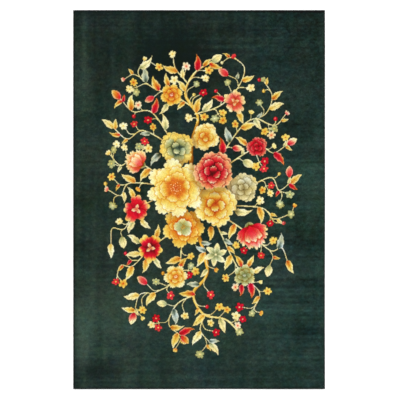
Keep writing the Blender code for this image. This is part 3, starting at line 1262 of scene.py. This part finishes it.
def add_tufts(colours, material):
    """The outermost knots' pile, which leans out over the edge: rows of small tapered tufts all round."""
    rng = np.random.default_rng(21)
    points, faces, yarns = [], [], []
    start = 0
    for along_x, sign, end, half, strands in (
        (True, -1, FIELD_HIGH.x, FIELD_HIGH.y, colours[0]),
        (True, 1, FIELD_HIGH.x, FIELD_HIGH.y, colours[-1]),
        (False, -1, FIELD_HIGH.y, FIELD_HIGH.x, colours[:, 0]),
        (False, 1, FIELD_HIGH.y, FIELD_HIGH.x, colours[:, -1]),
    ):
        outward = TUFT_FACES if along_x != (sign < 0) else [face[::-1] for face in TUFT_FACES]
        places = np.arange(-end + TUFT_PITCH, end - TUFT_PITCH, TUFT_PITCH)
        knot = ((places + end) / (2 * end) * len(strands)).astype(int)
        for tuft_row in TUFT_ROWS:
            run, out, up = tuft_rings(rng, places, half, tuft_row)
            x, y = (run, sign * out) if along_x else (sign * out, run)
            points.append(np.stack([*sway(x, y), up], -1).reshape(-1, 3))
            for first in range(start, start + run.size, 6):
                faces += [[first + corner for corner in face] for face in outward]
            start += run.size
            shade = rng.uniform(0.82, 1.18, (len(places), 1))
            yarns.append(np.repeat(strands[knot] * shade, len(TUFT_FACES), axis=0))
    return add_piece("rim_tufts", np.concatenate(points), faces, np.concatenate(yarns), material)


def add_cord(name, along_y, sign, length, material):
    """One overcast cord: wool wrapped over it side by side, each wrap a slanting ridge."""
    rng = np.random.default_rng(31 + 2 * along_y + (sign > 0))
    low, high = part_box(name)
    wraps = int(round(length / WRAP_PITCH))
    rings = 2 * wraps + 1
    on_ridge = np.arange(rings) % 2 == 1
    wide = (high.x - low.x if along_y else high.y - low.y) / 2
    tall = (high.z - low.z) / 2
    angle = TURN * (np.arange(CORD_SIDES) + 0.5) / CORD_SIDES
    squared = (np.abs(np.cos(angle)) ** 3 + np.abs(np.sin(angle)) ** 3) ** (-1 / 3)
    girth = np.where(on_ridge, 1.0, CORD_VALLEY) + rng.uniform(-0.025, 0.015, rings)
    girth[[0, 1, -2, -1]] *= CORD_END
    across = girth[:, None] * squared * np.cos(angle) * wide
    up = np.maximum(tall + girth[:, None] * squared * np.sin(angle) * tall, 0)
    slant = WRAP_SLANT * np.sin(angle - 0.5) * (np.arange(rings)[:, None] % (rings - 1) > 0)
    run = np.linspace(-length / 2, length / 2, rings)[:, None] + slant
    out = sign * ((CAD_HIGH.x if along_y else CAD_HIGH.y) - wide) + across
    x, y = (out, run) if along_y else (run, out)
    points = np.stack([*sway(x, y), up], -1).reshape(-1, 3)
    index = np.arange(rings * CORD_SIDES).reshape(rings, CORD_SIDES)
    faces = grid_faces(np.concatenate([index, index[:, :1]], 1), upward=not along_y)
    ends = [index[0], index[-1, ::-1]]
    faces += [list(end if along_y else end[::-1]) for end in ends]
    # Each wrap's own tone, with a painted highlight on its ridge ring and painted shade in its valley ring
    shade = np.repeat(rng.uniform(0.90, 1.14, wraps + 1), 2)[:rings] * np.where(on_ridge, 1.10, 0.72)
    yarns = np.repeat(shade, CORD_SIDES)[:, None] * EDGE_YARN
    return add_piece(name + "_overcast", points, faces, yarns, material, domain="POINT")


# ---- the rug

CHART = Chart(7)
draw_spray(CHART, 15, 600)
draw_ground(CHART, 5)

PILE, BACK, EDGE = pile_material(), back_material(), edge_material()
SURFACE = pile_surface(np.random.default_rng(3))
CORNERS = mingled(CHART.colour)
STRIP_PIECES = [add_strip(k, SURFACE, CORNERS, PILE) for k in range(STRIPS)]
FOUNDATION_PIECE = add_foundation(CHART, BACK)
TUFTS = add_tufts(CHART.colour, PILE)
for piece in [*STRIP_PIECES, FOUNDATION_PIECE, TUFTS]:
    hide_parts("rug")

for node, along_y, sign, length in (
    ("edge_left", True, -1, CAD_HIGH.y - CAD_LOW.y),
    ("edge_right", True, 1, CAD_HIGH.y - CAD_LOW.y),
    ("edge_near", False, -1, FIELD_WIDTH),
    ("edge_far", False, 1, FIELD_WIDTH),
):
    add_cord(node, along_y, sign, length, EDGE)
    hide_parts(node)


# ---- floor, camera and light

CAMERA_DISTANCE = 8.0
SENSOR = 36.0
FRAME_WIDTH = (CAD_HIGH.x - CAD_LOW.x) / PHOTO_RUG_WIDTH * PHOTO_PIXELS
FLOOR_SIZE = 60.0
FLOOR_DROP = 0.0005
SKY_LIGHT = 0.98
SUN_SHARE = 0.40
SUN_TILT = math.radians(35)
SUN_FROM = math.radians(150)
SUN_SOFTNESS = math.radians(50)


def add_floor():
    """A wide floor, a hair below the rug."""
    half = FLOOR_SIZE / 2
    mesh = bpy.data.meshes.new("floor")
    points = [(-half, -half, 0), (half, -half, 0), (half, half, 0), (-half, half, 0)]
    mesh.from_pydata(points, [], [(0, 1, 2, 3)])
    mesh.materials.append(floor_material())
    floor = add_object("floor", mesh)
    floor.location.z = -FLOOR_DROP


def add_camera():
    """Squarely above the rug, so that it fills the frame as it fills the photograph."""
    camera = bpy.data.cameras.new("camera")
    camera.sensor_width = SENSOR
    camera.lens = SENSOR * CAMERA_DISTANCE / FRAME_WIDTH
    camera.clip_end = 200
    pixel = FRAME_WIDTH / PHOTO_PIXELS
    holder = add_object("camera", camera)
    holder.location.x = (PHOTO_PIXELS / 2 - PHOTO_MIDDLE[0]) * pixel
    holder.location.y = (PHOTO_MIDDLE[1] - PHOTO_PIXELS / 2) * pixel
    holder.location.z = PILE_TOP + CAMERA_DISTANCE
    bpy.context.scene.camera = holder


def add_light():
    """Even studio light: a bright sky, and a broad soft sun from the far left."""
    world = bpy.data.worlds.new("studio")
    world.use_nodes = True
    sky = world.node_tree.nodes["Background"]
    sky.inputs["Color"].default_value = (1, 1, 1, 1)
    sky.inputs["Strength"].default_value = SKY_LIGHT
    bpy.context.scene.world = world
    sun = bpy.data.lights.new("sun", "SUN")
    sun.angle = SUN_SOFTNESS
    sun.energy = SUN_SHARE * math.pi / math.cos(SUN_TILT)
    add_object("sun", sun).rotation_euler = (SUN_TILT, 0, SUN_FROM)


add_floor()
add_camera()
add_light()
bpy.context.scene.view_settings.view_transform = "Standard"
